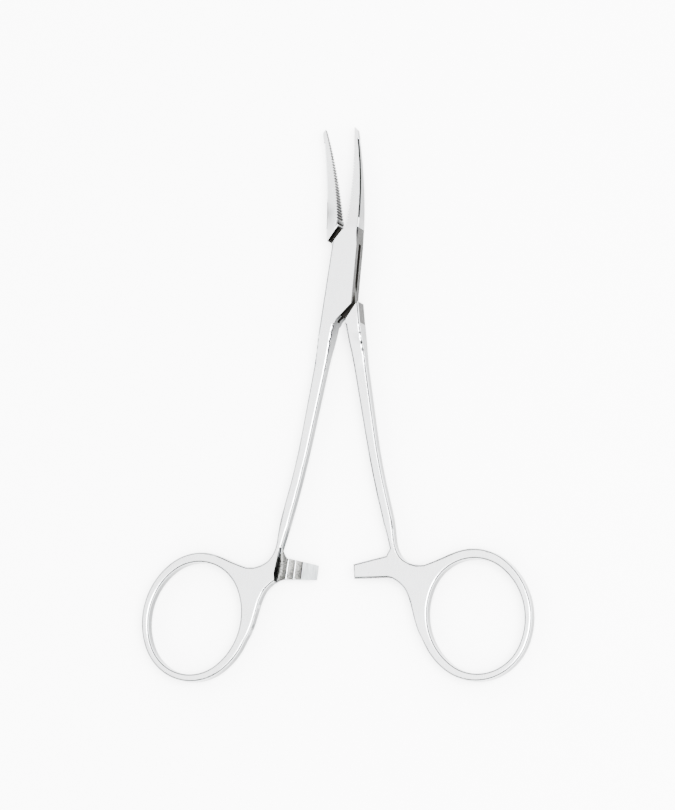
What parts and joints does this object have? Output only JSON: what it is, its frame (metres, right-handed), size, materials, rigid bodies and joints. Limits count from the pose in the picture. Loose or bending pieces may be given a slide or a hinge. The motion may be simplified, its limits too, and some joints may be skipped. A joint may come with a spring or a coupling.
{
  "type": "curved mosquito hemostat forceps",
  "caption": "Curved mosquito hemostat forceps with a box lock, finger rings and a toothed ratchet, lying slightly open.",
  "frame": {"origin": "hinge axis of the box lock, at the lock's back face, on which the forceps lies", "axes": "+Y towards the jaw tips, +X towards the right finger ring, +Z along the hinge axis out of the front face"},
  "size_m": [0.0898, 0.1227, 0.0046],
  "materials": {
    "box_half_steel": "satin faces with polished edges",
    "tongue_half_steel": "satin faces with polished edges",
    "lock_pin_steel": "ground flush with the lock, satin"
  },
  "bodies": {
    "box_side": {"box_half": "box_half_steel", "lock_pin": "lock_pin_steel"},
    "tongue_side": {"tongue_half": "tongue_half_steel"}
  },
  "joints": [
    {"name": "jaw_hinge", "type": "hinge", "parent": "box_side", "child": "tongue_side", "pos_m": [0, 0, 0], "axis": [0, 0, 1], "range_deg": [-11.1, 48]}
  ]
}
